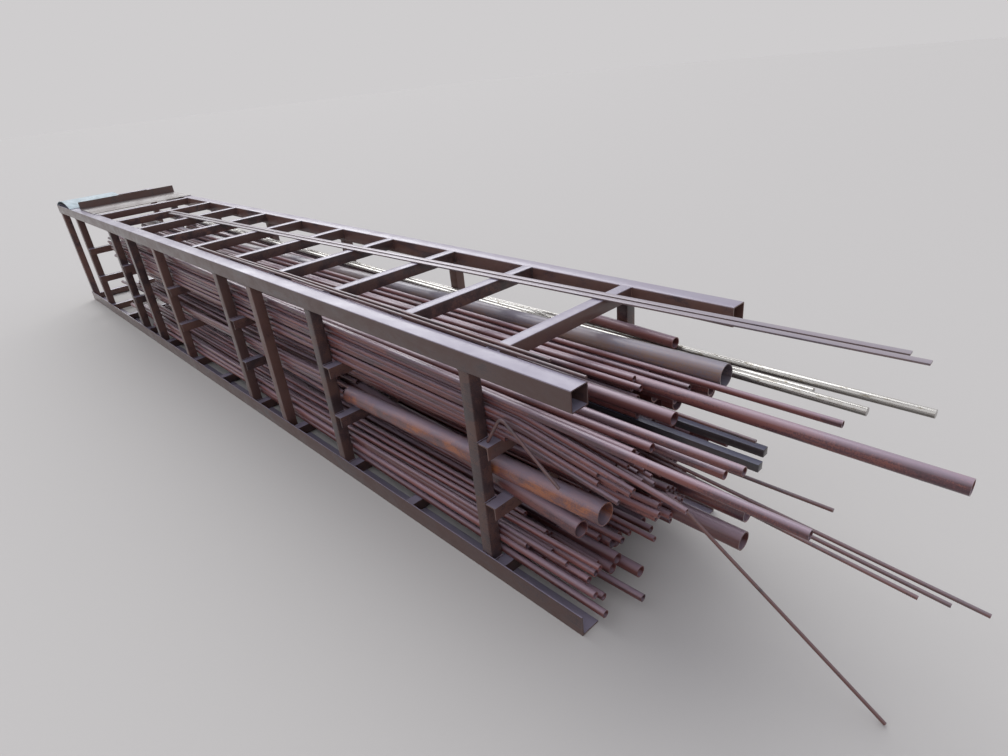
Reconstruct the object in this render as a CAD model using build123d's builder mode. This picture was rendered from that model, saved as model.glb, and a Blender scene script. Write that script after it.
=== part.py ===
"""A welded steel rack holding three tiers of loose iron pipes and bars.

Millimetres. X runs along the rack, with the ragged pipe ends at +X. Y runs across
it, with the side that faces the viewer at -Y. Z is up. The origin is on the floor
under the middle of the whole heap, overhanging ends included.
"""

import os
import random
from dataclasses import dataclass
from typing import Optional

import numpy as np
from build123d import *

# The rack as a whole, and how far the longest rod reaches past its right end.
RACK_LENGTH = 6000.0
RACK_WIDTH = 810.0
RACK_HEIGHT = 888.0
LONGEST_REACH = 910.0
# The far top rail was cut longer than the near one.
FAR_RAIL_EXCESS = 55.0

# Sections that the rack is welded from.
RAIL_SIZE = 70.0
RAIL_WALL = 4.0
RUNG_SIZE = 50.0
RUNG_WALL = 3.0
POST_SIZE = 50.0
POST_WALL = 3.0
SILL_LEG = 80.0
SILL_THICKNESS = 6.0
BEARER_SIZE = 50.0
BEARER_THICKNESS = 5.0
STRUT_SIZE = 50.0
STRUT_THICKNESS = 5.0

# Crosswise members share the rack's length evenly, counted from its right end.
RUNG_COUNT = 12
RUNG_PITCH = RACK_LENGTH / RUNG_COUNT
FIRST_RUNG = 0.73 * RUNG_PITCH
POST_COUNT = 6
POST_PITCH = RACK_LENGTH / POST_COUNT
FIRST_POST = 0.445 * POST_PITCH
STRUT_COUNT = 2
STRUT_PITCH = 2 * POST_PITCH

# Heights of the tops of the bearers under the middle and the top tier.
MIDDLE_TIER_FLOOR = 0.358 * RACK_HEIGHT
TOP_TIER_FLOOR = 0.633 * RACK_HEIGHT

# Air left between two pieces that lie on each other.
SEAT_GAP = 0.4
# Distance between the sections at which a piece is tested against those below it.
STATION_PITCH = 100.0
# Steps in which a loose piece looks for its lowest seat across the rack.
SEAT_STEP = 6.0
# A height far below the floor, where nothing is under a piece.
NOTHING_BELOW = -1e6

# Where thin rods are bent past the last bearer, and how round the bend is.
BEND_INSET = 280.0
BEND_RADIUS = 700.0
# Fall per length past the bend, of the narrow pipes on the near side.
NEAR_SAG = 0.13

# A rod that was bent sharply, down to the ground: its bend, and the fall that marks it.
SHARP_BEND_RADIUS = 60.0
SHARP_SAG = 0.5

# A plate with one long edge turned up, lying across the rack between two rungs.
PLATE_WIDTH = 0.85 * RUNG_PITCH
PLATE_UPSTAND = 60.0
PLATE_THICKNESS = 4.0
# How far its near end reaches over the near rail.
PLATE_BITE = 20.0

# An arched offcut of sheet at the left end.
SHEET_LENGTH = 480.0
SHEET_WIDTH = 420.0
SHEET_THICKNESS = 3.0
SHEET_ARCH = 45.0
SHEET_INSET = 12.0

# A thin rod with a kink, from its foot to the knee and from there to its tip.
KINK_RUN = 75.0
KINK_RISE = 118.0
KINK_REACH = 230.0
KINK_FALL = 165.0
KINK_RADIUS = 25.0

# Places that follow from the sizes above.
RACK_LEFT = -(RACK_LENGTH + LONGEST_REACH) / 2
RACK_RIGHT = RACK_LEFT + RACK_LENGTH
HALF_WIDTH = RACK_WIDTH / 2
POST_OUTER = HALF_WIDTH - SILL_THICKNESS
POST_INNER = POST_OUTER - POST_SIZE
POST_MIDDLE = (POST_OUTER + POST_INNER) / 2
RAIL_INNER = HALF_WIDTH - RAIL_SIZE
RAIL_UNDERSIDE = RACK_HEIGHT - RAIL_SIZE
RUNG_UNDERSIDE = RACK_HEIGHT - RUNG_SIZE
BOTTOM_TIER_FLOOR = SILL_THICKNESS + BEARER_SIZE

RUNG_XS = [RACK_RIGHT - FIRST_RUNG - i * RUNG_PITCH for i in range(RUNG_COUNT)]
NEAR_POST_XS = [RACK_RIGHT - FIRST_POST - i * POST_PITCH for i in range(POST_COUNT)]
BEARER_XS = [x + (POST_SIZE + BEARER_SIZE) / 2 for x in NEAR_POST_XS]
GROUND_BAR_XS = [x - POST_PITCH / 2 for x in NEAR_POST_XS[:-1]]
STRUT_XS = [RACK_RIGHT - (i + 1) * STRUT_PITCH for i in range(STRUT_COUNT)]
END_POST_X = RACK_LEFT + POST_SIZE / 2
END_BAR_X = RACK_LEFT + RUNG_SIZE / 2
PLATE_X = RUNG_XS[10]
PLATE_NEAR = -RAIL_INNER - PLATE_BITE


@dataclass
class Stock:
    """One section of pipe or bar. A solid one has no wall, and a round one no width."""

    thickness: float
    wall: Optional[float] = None
    width: Optional[float] = None


GREAT_PIPE = Stock(76.1, 3.65)
LARGE_PIPE = Stock(60.0, 4.0)
MIDDLE_PIPE = Stock(42.0, 3.5)
THIN_PIPE = Stock(26.8, 2.8)
CONDUIT = Stock(21.3, 2.5)
NARROW_PIPE = Stock(17.2, 2.3)
BRIGHT_BAR = Stock(26.0)
ROD = Stock(11.0)
SQUARE_BAR = Stock(24.0, width=24.0)
FLAT_BAR = Stock(6.0, width=25.0)


@dataclass
class Piece:
    """A straight piece that lies roughly along X, or one with a bend near its right end.

    beyond is how far its right end is past the rack's right end. slant is how far
    it drifts towards +Y over its length. y is where its middle lies. z_left and
    z_right are the heights of its straight axis at its two ends, once it has come to
    rest. Past the bend it falls by sag and goes towards +Y by sway, per length.
    """

    stock: Stock
    length: float
    beyond: float
    slant: float = 0.0
    bend_inset: float = BEND_INSET
    sag: float = 0.0
    sway: float = 0.0
    y: float = 0.0
    z_left: float = 0.0
    z_right: float = 0.0

    @property
    def radius(self):
        return self.stock.thickness / 2

    @property
    def level_half(self):
        """Half the width of its level top, which a round piece doesn't have."""
        return (self.stock.width or 0) / 2

    @property
    def right(self):
        return RACK_RIGHT + self.beyond

    @property
    def left(self):
        return self.right - self.length

    @property
    def middle(self):
        return self.right - self.length / 2

    @property
    def bend(self):
        return RACK_RIGHT - self.bend_inset

    def drift(self, x):
        """How far the axis has drifted across at x, from its middle."""
        return self.slant * (x - self.middle) / self.length

    def height(self, x):
        """Height of the straight axis at x."""
        return self.z_left + (self.z_right - self.z_left) * (x - self.left) / self.length

    def point(self, x):
        """The place on the straight axis at x."""
        return Vector(x, self.y + self.drift(x), self.height(x))

    def path(self):
        """The corners that its axis runs through, from its left end to its right end."""
        if not self.sag:
            return [self.point(self.left), self.point(self.right)]
        run = self.right - self.bend
        tip = self.point(self.right) + Vector(0, self.sway * run, -self.sag * run)
        return [self.point(self.left), self.point(self.bend), tip]


class Tier:
    """The pieces that lie on one row of supports, under a ceiling or the open sky."""

    def __init__(self, floor: float, ceiling: float, seed: int, supports=BEARER_XS):
        self.floor = floor
        self.ceiling = ceiling
        self.random = random.Random(seed)
        self.supports = supports
        self.pieces = []

    def needed_heights(self, piece: Piece, xs, ys):
        """Height that the axis needs at each station (column) for each place across (row)."""
        near_support = np.abs(xs[:, None] - np.array(self.supports)).min(axis=1) <= STATION_PITCH
        on_support = np.where(near_support, self.floor + piece.radius + SEAT_GAP, NOTHING_BELOW)
        needed = np.broadcast_to(on_support, ys.shape).copy()
        for other in self.pieces:
            reach = piece.radius + other.radius + SEAT_GAP
            aside = np.abs(ys - (other.y + other.drift(xs))) - piece.level_half - other.level_half
            beside = (xs > other.left - STATION_PITCH) & (xs < other.right + STATION_PITCH)
            above = np.sqrt(np.maximum(reach**2 - np.maximum(aside, 0) ** 2, 0))
            on_other = np.where(beside & (above > 0), other.height(xs) + above, NOTHING_BELOW)
            needed = np.maximum(needed, on_other)
        return needed

    def rest_on(self, xs, needed, balance: float):
        """Height at the balance point, and rise per length, of a bar laid over the heights.

        The bar comes to rest on two high points, one each side of its balance point:
        of all such pairs, the pair that carries it highest.
        """
        before, after = xs <= balance, xs > balance
        run = xs[after] - xs[before][:, None]
        share = (balance - xs[before][:, None]) / run
        low, high = needed[before][:, None], needed[after]
        held = (low > NOTHING_BELOW) & (high > NOTHING_BELOW)
        carried = np.where(held, low + (high - low) * share, NOTHING_BELOW)
        i, j = np.unravel_index(np.argmax(carried), carried.shape)
        return carried[i, j], (high[j] - low[i, 0]) / run[i, j]

    def lay(self, piece: Piece, near: float, far: float):
        """Lay the piece on its lowest seat between two places across the rack.

        near and far are shares of the way from the middle to the posts, -1 at the
        near posts and 1 at the far posts.
        """
        xs = np.linspace(piece.left, piece.right, round(piece.length / STATION_PITCH) + 1)
        drift = piece.drift(xs)
        room = POST_INNER - piece.radius - piece.level_half - SEAT_GAP
        between_posts = drift[(xs >= RACK_LEFT) & (xs <= RACK_RIGHT)]
        first = max(near * POST_INNER, -room - between_posts.min())
        last = min(far * POST_INNER, room - between_posts.max())
        places = np.linspace(first, last, max(round(abs(last - first) / SEAT_STEP), 0) + 1)
        needed = self.needed_heights(piece, xs, places[:, None] + drift)
        seats = [self.rest_on(xs, row, piece.middle) for row in needed]
        lowest = min(range(len(seats)), key=lambda k: round(seats[k][0], 1))
        height, rise = seats[lowest]
        piece.y = float(places[lowest])
        piece.z_left = float(height - rise * piece.length / 2)
        piece.z_right = float(height + rise * piece.length / 2)
        crossed = [x for x in self.supports if piece.left < x < piece.right]
        if max(piece.height(x) for x in crossed) + piece.radius + SEAT_GAP < self.ceiling:
            self.pieces.append(piece)

    def lay_long(self, stock: Stock, starts, beyond, slant, near, far, **bend):
        """Lay a piece that starts so far from the rack's left end and ends beyond its right end."""
        self.lay(Piece(stock, RACK_LENGTH + beyond - starts, beyond, slant, **bend), near, far)

    def fill(self, stock: Stock, count: int, near: float, far: float, reach=(-9, 12)):
        """Lay so many pieces of one stock, cut and slanted as unevenly as a real heap."""
        for _ in range(count):
            starts = 50.0 * self.random.randint(20, 36)
            beyond = 10.0 * self.random.randint(*reach)
            slant = self.random.uniform(-60.0, 60.0)
            self.lay_long(stock, starts, beyond, slant, near, far)

    def bend_down(self, stocks, near: float, far: float):
        """Let pieces of these stocks sag past the last bearer in one part of the tier."""
        for piece in self.pieces:
            in_place = near * POST_INNER < piece.point(piece.bend).Y < far * POST_INNER
            if in_place and piece.stock in stocks and piece.right > piece.bend and not piece.sag:
                piece.sag = NEAR_SAG


ground_supports = BEARER_XS + GROUND_BAR_XS
bottom_tier = Tier(BOTTOM_TIER_FLOOR, MIDDLE_TIER_FLOOR - BEARER_SIZE, seed=11, supports=ground_supports)
bottom_tier.lay_long(THIN_PIPE, 2900.0, 40.0, -30.0, -1.0, -0.90)
bottom_tier.lay_long(THIN_PIPE, 1900.0, 90.0, 90.0, -0.80, -0.70)
bottom_tier.lay_long(MIDDLE_PIPE, 900.0, 20.0, 40.0, -0.40, -0.25)
bottom_tier.fill(LARGE_PIPE, 5, -0.2, 1.0, reach=(-30, -4))
bottom_tier.fill(MIDDLE_PIPE, 9, -0.6, 1.0, reach=(-25, 0))
bottom_tier.fill(THIN_PIPE, 20, -1.0, 1.0, reach=(-30, 3))
bottom_tier.fill(CONDUIT, 26, -1.0, 1.0, reach=(-45, 5))

middle_tier = Tier(MIDDLE_TIER_FLOOR, TOP_TIER_FLOOR - BEARER_SIZE, seed=12)
middle_tier.lay_long(LARGE_PIPE, 3300.0, -60.0, -215.0, -0.68, -0.62)
middle_tier.lay(Piece(GREAT_PIPE, 1440.0, 20.0), -0.86, -0.82)
middle_tier.fill(LARGE_PIPE, 5, -0.3, 1.0, reach=(-12, 5))
middle_tier.lay_long(LARGE_PIPE, 900.0, 347.0, -30.0, -0.20, -0.16)
middle_tier.fill(MIDDLE_PIPE, 5, -0.1, 1.0, reach=(-10, 10))
middle_tier.lay_long(LARGE_PIPE, 700.0, 326.0, 20.0, -0.10, -0.02)
middle_tier.fill(CONDUIT, 12, -1.0, -0.7, reach=(-160, -145))
middle_tier.fill(CONDUIT, 6, -0.62, -0.4, reach=(8, 17))
middle_tier.fill(CONDUIT, 12, -0.62, -0.25, reach=(8, 17))
middle_tier.lay_long(ROD, 1600.0, 780.0, 0.0, -0.58, -0.54, bend_inset=-200.0, sway=0.17)
hanging_rod = middle_tier.pieces[-1]
hanging_rod.sag = (hanging_rod.z_right - hanging_rod.radius) / (hanging_rod.right - hanging_rod.bend)
middle_tier.fill(THIN_PIPE, 12, -0.5, 1.0, reach=(-10, 12))

top_tier = Tier(TOP_TIER_FLOOR, RUNG_UNDERSIDE, seed=13)
top_tier.lay_long(ROD, 2400.0, LONGEST_REACH, 20.0, -0.25, -0.21, sag=0.083)
top_tier.lay_long(ROD, 1900.0, 840.0, 10.0, -0.29, -0.26, sag=0.087)
top_tier.lay_long(ROD, 2000.0, 780.0, 0.0, -0.35, -0.31, sag=0.091)
top_tier.lay_long(ROD, 2200.0, 555.0, 30.0, -0.20, -0.17)
top_tier.fill(LARGE_PIPE, 5, -0.2, 1.0, reach=(-12, 5))
top_tier.fill(CONDUIT, 12, -1.0, -0.5, reach=(-42, -34))
top_tier.fill(NARROW_PIPE, 27, -1.0, -0.5, reach=(2, 15))
top_tier.lay_long(NARROW_PIPE, 1500.0, 300.0, -20.0, -0.95, -0.90)
top_tier.fill(MIDDLE_PIPE, 8, -0.38, 1.0)
top_tier.fill(THIN_PIPE, 2, 0.70, 1.0, reach=(0, 12))
top_tier.lay_long(BRIGHT_BAR, 1640.0, 654.0, 0.0, 0.93, 0.96)
top_tier.lay_long(MIDDLE_PIPE, 600.0, 60.0, 0.0, 0.72, 0.78)
top_tier.lay_long(SQUARE_BAR, 1100.0, 380.0, 0.0, -0.30, -0.26)
top_tier.lay_long(SQUARE_BAR, 1300.0, 369.0, 0.0, -0.20, -0.16)
top_tier.lay_long(GREAT_PIPE, 500.0, 145.0, 0.0, 0.40, 0.46)
top_tier.fill(THIN_PIPE, 4, -0.39, 1.0)
top_tier.fill(THIN_PIPE, 3, 0.55, 0.9, reach=(0, 12))
top_tier.lay_long(MIDDLE_PIPE, 550.0, 130.0, 0.0, -0.34, -0.28)
top_tier.lay_long(MIDDLE_PIPE, 800.0, 808.0, -40.0, 0.0, 0.03)
top_tier.fill(CONDUIT, 8, -0.4, 0.5)
top_tier.lay_long(THIN_PIPE, 1400.0, 165.0, 0.0, -0.84, -0.80)
top_tier.lay_long(THIN_PIPE, 1620.0, 350.0, -30.0, -0.67, -0.63)
top_tier.lay_long(THIN_PIPE, 1750.0, 410.0, -20.0, -0.72, -0.68)
top_tier.lay_long(THIN_PIPE, 1350.0, 125.0, 0.0, -0.90, -0.86)
top_tier.lay_long(THIN_PIPE, 1800.0, 600.0, -20.0, -0.95, -0.92)
top_tier.lay_long(ROD, 1550.0, 350.0, 0.0, -0.24, -0.18)
top_tier.lay_long(CONDUIT, 1900.0, 500.0, 60.0, 0.12, 0.18)
top_tier.lay_long(BRIGHT_BAR, 1500.0, 515.0, 0.0, 0.60, 0.66)
top_tier.lay_long(BRIGHT_BAR, 1750.0, 350.0, 0.0, 0.80, 0.88)
top_tier.lay(Piece(MIDDLE_PIPE, 460.0, -130.0, -30.0), 0.80, 0.90)
top_tier.bend_down([NARROW_PIPE, CONDUIT], -1.0, -0.49)

on_the_rack = Tier(RACK_HEIGHT, float("inf"), seed=14, supports=RUNG_XS)
on_the_rack.lay_long(FLAT_BAR, 1800.0, 635.0, 246.0, 0.31, 0.33)
on_the_rack.lay_long(FLAT_BAR, 1700.0, 581.0, 248.0, 0.40, 0.42)
on_the_rack.lay_long(ROD, 3220.0, -10.0, 0.0, -0.94, -0.92)
on_the_rack.lay_long(ROD, 3600.0, -160.0, 8.0, -0.90, -0.88)


def along_x(x: float, y: float, z: float, towards=1.0) -> Plane:
    """A plane across X, with +Z up in it. towards=-1 looks the other way along X."""
    return Plane(origin=(x, y, z), x_dir=(0, towards, 0), z_dir=(towards, 0, 0))


def upright(x: float, y: float) -> Plane:
    """A level plane on top of a sill's foot."""
    return Plane(origin=(x, y, SILL_THICKNESS), x_dir=(0, 1, 0), z_dir=(0, 0, 1))


def across(x: float, reach: float, z: float) -> Plane:
    """An upright plane at the near end of a member that runs towards +Y."""
    return Plane(origin=(x, -reach, z), x_dir=(1, 0, 0), z_dir=(0, 1, 0))


def keep(part, name: str):
    """Label a finished piece and write it."""
    part.label = name
    export_step(part, f"parts/{name}.step")


def square_tube(name: str, plane: Plane, size: float, wall: float, length: float):
    """A square tube with open ends, from the plane along its normal."""
    with BuildPart() as tube:
        with BuildSketch(plane):
            Rectangle(size, size)
            Rectangle(size - 2 * wall, size - 2 * wall, mode=Mode.SUBTRACT)
        extrude(amount=length)
    keep(tube.part, name)


def angle_irons(name: str, planes, leg: float, thickness: float, length: float):
    """Equal lengths of angle iron, each with its corner at a plane's origin."""
    with BuildPart() as angles:
        for plane in planes:
            with BuildSketch(plane):
                with BuildLine():
                    Polyline(
                        (0, 0),
                        (leg, 0),
                        (leg, thickness),
                        (thickness, thickness),
                        (thickness, leg),
                        (0, leg),
                        close=True,
                    )
                make_face()
            extrude(amount=length)
    keep(angles.part, name)


def rails():
    """The two square top rails and the two angle-iron sills."""
    height = RACK_HEIGHT - RAIL_SIZE / 2
    aside = HALF_WIDTH - RAIL_SIZE / 2
    far_length = RACK_LENGTH + FAR_RAIL_EXCESS
    square_tube("near_top_rail", along_x(RACK_LEFT, -aside, height), RAIL_SIZE, RAIL_WALL, RACK_LENGTH)
    square_tube("far_top_rail", along_x(RACK_LEFT, aside, height), RAIL_SIZE, RAIL_WALL, far_length)
    near_corner = along_x(RACK_LEFT, -HALF_WIDTH, 0)
    far_corner = along_x(RACK_RIGHT, HALF_WIDTH, 0, towards=-1.0)
    angle_irons("near_sill", [near_corner], SILL_LEG, SILL_THICKNESS, RACK_LENGTH)
    angle_irons("far_sill", [far_corner], SILL_LEG, SILL_THICKNESS, RACK_LENGTH)


def rungs():
    """The ladder of square tubes between the top rails, flush with their tops."""
    height = RACK_HEIGHT - RUNG_SIZE / 2
    places = {f"rung_{i + 1}": x for i, x in enumerate(RUNG_XS)}
    places["left_end_rung"] = END_BAR_X
    for name, x in places.items():
        square_tube(name, across(x, RAIL_INNER, height), RUNG_SIZE, RUNG_WALL, 2 * RAIL_INNER)


def posts():
    """The upright square tubes between the sills and the top rails."""
    rise = RAIL_UNDERSIDE - SILL_THICKNESS
    for i, x in enumerate(NEAR_POST_XS + [END_POST_X]):
        square_tube(f"near_post_{i + 1}", upright(x, -POST_MIDDLE), POST_SIZE, POST_WALL, rise)
    for i, x in enumerate(BEARER_XS + [END_POST_X]):
        square_tube(f"far_post_{i + 1}", upright(x, POST_MIDDLE), POST_SIZE, POST_WALL, rise)


def struts():
    """Upright angle irons between the posts on the near side."""
    planes = [upright(x, -POST_OUTER) for x in STRUT_XS]
    rise = RAIL_UNDERSIDE - SILL_THICKNESS
    angle_irons("near_struts", planes, STRUT_SIZE, STRUT_THICKNESS, rise)


def bearers():
    """Angle irons across the rack that carry the three tiers."""
    floors = {
        "bottom_bearers": BOTTOM_TIER_FLOOR,
        "middle_bearers": MIDDLE_TIER_FLOOR,
        "top_bearers": TOP_TIER_FLOOR,
    }
    span = POST_INNER + POST_OUTER
    for name, floor in floors.items():
        corners = [
            Plane(origin=(x + BEARER_SIZE / 2, POST_INNER, floor), x_dir=(-1, 0, 0), z_dir=(0, -1, 0))
            for x in BEARER_XS
        ]
        angle_irons(name, corners, BEARER_SIZE, BEARER_THICKNESS, span)


def ground_bars():
    """Square tubes that lie across on the sills' feet, halfway between the posts and at the left end."""
    height = SILL_THICKNESS + POST_SIZE / 2
    reaches = {x: POST_OUTER for x in GROUND_BAR_XS}
    reaches[END_POST_X] = POST_INNER
    with BuildPart() as bars:
        for x, reach in reaches.items():
            with BuildSketch(across(x, reach, height)):
                Rectangle(POST_SIZE, POST_SIZE)
                Rectangle(POST_SIZE - 2 * POST_WALL, POST_SIZE - 2 * POST_WALL, mode=Mode.SUBTRACT)
            extrude(amount=2 * reach)
    keep(bars.part, "ground_bars")


def folded_plate():
    """A plate that lies on a rung and both top rails, with its left edge turned up."""
    corner = Plane(
        origin=(PLATE_X, PLATE_NEAR, RACK_HEIGHT + SEAT_GAP),
        x_dir=(1, 0, 0),
        z_dir=(0, -1, 0),
    )
    with BuildPart() as plate:
        with BuildSketch(corner):
            with BuildLine():
                Polyline(
                    (0, 0),
                    (PLATE_WIDTH, 0),
                    (PLATE_WIDTH, PLATE_THICKNESS),
                    (PLATE_THICKNESS, PLATE_THICKNESS),
                    (PLATE_THICKNESS, PLATE_UPSTAND),
                    (0, PLATE_UPSTAND),
                    close=True,
                )
            make_face()
        extrude(amount=PLATE_NEAR - HALF_WIDTH)
    keep(plate.part, "folded_plate")


def scrap_sheet():
    """An arched offcut of sheet that lies on the near rail and the left end rung."""
    corner = Plane(
        origin=(RACK_LEFT + SHEET_INSET, -HALF_WIDTH + SHEET_WIDTH, RACK_HEIGHT + SEAT_GAP),
        x_dir=(1, 0, 0),
        z_dir=(0, -1, 0),
    )
    with BuildPart() as sheet:
        with BuildSketch(corner):
            with BuildLine():
                ThreePointArc((0, 0), (SHEET_LENGTH / 2, SHEET_ARCH), (SHEET_LENGTH, 0))
                Line((SHEET_LENGTH, 0), (SHEET_LENGTH, SHEET_THICKNESS))
                ThreePointArc(
                    (SHEET_LENGTH, SHEET_THICKNESS),
                    (SHEET_LENGTH / 2, SHEET_ARCH + SHEET_THICKNESS),
                    (0, SHEET_THICKNESS),
                )
                Line((0, SHEET_THICKNESS), (0, 0))
            make_face()
        extrude(amount=SHEET_WIDTH)
    keep(sheet.part, "scrap_sheet")


def kinked_rod():
    """A thin rod that stands on the first top bearer and leans out over the near side."""
    rise = Vector(KINK_RUN, 0, KINK_RISE)
    lift = ROD.thickness / 2 * KINK_RUN / rise.length + SEAT_GAP
    foot = Vector(BEARER_XS[0], -POST_MIDDLE, TOP_TIER_FLOOR + lift)
    knee = foot + rise
    tip = knee + Vector(KINK_REACH, 0, -KINK_FALL)
    with BuildPart() as rod:
        with BuildLine():
            FilletPolyline(foot, knee, tip, radius=KINK_RADIUS)
        with BuildSketch(Plane(origin=foot, x_dir=(0, 1, 0), z_dir=knee - foot)):
            Circle(ROD.thickness / 2)
        sweep()
    keep(rod.part, "kinked_rod")


def stock_pieces(name: str, pieces):
    """Pipes or bars of one node, as solids that don't touch."""
    with BuildPart() as heap:
        for piece in pieces:
            path = piece.path()
            bend_radius = BEND_RADIUS if piece.sag < SHARP_SAG else SHARP_BEND_RADIUS
            if len(path) > 2:
                with BuildLine():
                    FilletPolyline(*path, radius=bend_radius)
            with BuildSketch(Plane(origin=path[0], x_dir=(0, 1, 0), z_dir=path[1] - path[0])):
                if piece.stock.width is None:
                    Circle(piece.radius)
                else:
                    Rectangle(piece.stock.width, piece.stock.thickness)
                if piece.stock.wall is not None:
                    Circle(piece.radius - piece.stock.wall, mode=Mode.SUBTRACT)
            if len(path) > 2:
                sweep()
            else:
                extrude(amount=(path[1] - path[0]).length)
    keep(heap.part, name)


def heap():
    """The pipes and bars, in one node for each tier and stock."""
    tiers = {"bottom": bottom_tier, "middle": middle_tier, "top": top_tier, "loose": on_the_rack}
    stocks = {
        "great_pipe": GREAT_PIPE,
        "large_pipes": LARGE_PIPE,
        "middle_pipes": MIDDLE_PIPE,
        "thin_pipes": THIN_PIPE,
        "conduits": CONDUIT,
        "narrow_pipes": NARROW_PIPE,
        "bright_bars": BRIGHT_BAR,
        "rods": ROD,
        "square_bars": SQUARE_BAR,
        "flat_bars": FLAT_BAR,
    }
    for tier_name, tier in tiers.items():
        for stock_name, stock in stocks.items():
            alike = [piece for piece in tier.pieces if piece.stock is stock]
            if alike:
                stock_pieces(f"{tier_name}_{stock_name}", alike)


os.makedirs("parts", exist_ok=True)
rails()
rungs()
posts()
struts()
bearers()
ground_bars()
folded_plate()
scrap_sheet()
kinked_rod()
heap()
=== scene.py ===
"""A welded steel rack with three tiers of loose iron pipes, wet and rusted.

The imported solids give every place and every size. Each class below dresses one part
of the rack or of the heap: it makes the part's finished mesh where the solid is, and
its finish from procedural nodes.
"""

import logging
import math
import random
from dataclasses import dataclass, field
from enum import Enum
from typing import Optional

import bmesh
import bpy
import numpy as np
from mathutils import Matrix, Vector
from mathutils.geometry import tessellate_polygon

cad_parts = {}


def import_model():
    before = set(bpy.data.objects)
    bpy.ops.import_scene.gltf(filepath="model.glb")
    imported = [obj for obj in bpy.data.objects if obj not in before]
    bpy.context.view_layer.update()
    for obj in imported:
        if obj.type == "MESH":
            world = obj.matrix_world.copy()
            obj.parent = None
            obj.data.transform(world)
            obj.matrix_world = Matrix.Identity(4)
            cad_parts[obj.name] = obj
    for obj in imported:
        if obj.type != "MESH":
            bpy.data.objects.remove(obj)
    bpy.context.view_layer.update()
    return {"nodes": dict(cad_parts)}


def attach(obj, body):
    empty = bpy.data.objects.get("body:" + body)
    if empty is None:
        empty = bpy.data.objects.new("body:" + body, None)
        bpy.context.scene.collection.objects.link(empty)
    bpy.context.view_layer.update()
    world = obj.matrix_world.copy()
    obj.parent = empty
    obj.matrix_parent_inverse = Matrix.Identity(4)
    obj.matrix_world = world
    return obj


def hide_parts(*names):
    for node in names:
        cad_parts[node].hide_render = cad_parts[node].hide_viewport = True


log = logging.getLogger("pipe_rack")
logging.basicConfig(level=logging.INFO, format="%(name)s: %(message)s")

IMAGE_WIDTH = 1008

# Corners of a solid's loose triangles that agree to this many digits, a micrometre, are one.
MERGED_DIGITS = 6
# Corners further apart than this along the rack are on different rings of a round solid.
RING_STEP_M = 0.0035
RING_CORNERS = 6
# How far from steel a corner of a member's box is, where an angle iron is open.
OPEN_CORNER_M = 0.002
# Edges that turn by more than this stay sharp in the shading, or are worn round.
SHARP_DEGREES = 32.0
WORN_DEGREES = 30.0

Point = tuple[float, float, float]
Flat = tuple[float, float]
Node = bpy.types.Node
NodeTree = bpy.types.NodeTree
Socket = bpy.types.NodeSocket


def linear(colour: str) -> tuple[float, float, float, float]:
    """Turns an sRGB hex colour into linear light.

    Args:
        colour: the colour as rrggbb.

    Returns:
        Red, green, blue and alpha in linear light.
    """
    parts = [int(colour[i : i + 2], 16) / 255 for i in (0, 2, 4)]
    light = [c / 12.92 if c <= 0.04045 else ((c + 0.055) / 1.055) ** 2.4 for c in parts]
    return light[0], light[1], light[2], 1.0


def add_node(tree: NodeTree, kind: str, inputs: Optional[dict] = None, **settings: object) -> Node:
    """Adds a node to a tree, with its settings and its inputs.

    Args:
        tree: the tree that takes the node.
        kind: the node's type name.
        inputs: a value, or the socket that feeds it, for each input's name or number.
        settings: the node's own properties.

    Returns:
        The new node.
    """
    node = tree.nodes.new(kind)
    for name, value in settings.items():
        setattr(node, name, value)
    for key, value in (inputs or {}).items():
        if isinstance(value, Socket):
            tree.links.new(value, node.inputs[key])
        else:
            node.inputs[key].default_value = value
    return node


class Slot(Enum):
    """The record's material slots."""

    RACK = "rack_steel"
    PIPE = "rusted_pipe"
    BRIGHT = "bright_steel"


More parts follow.
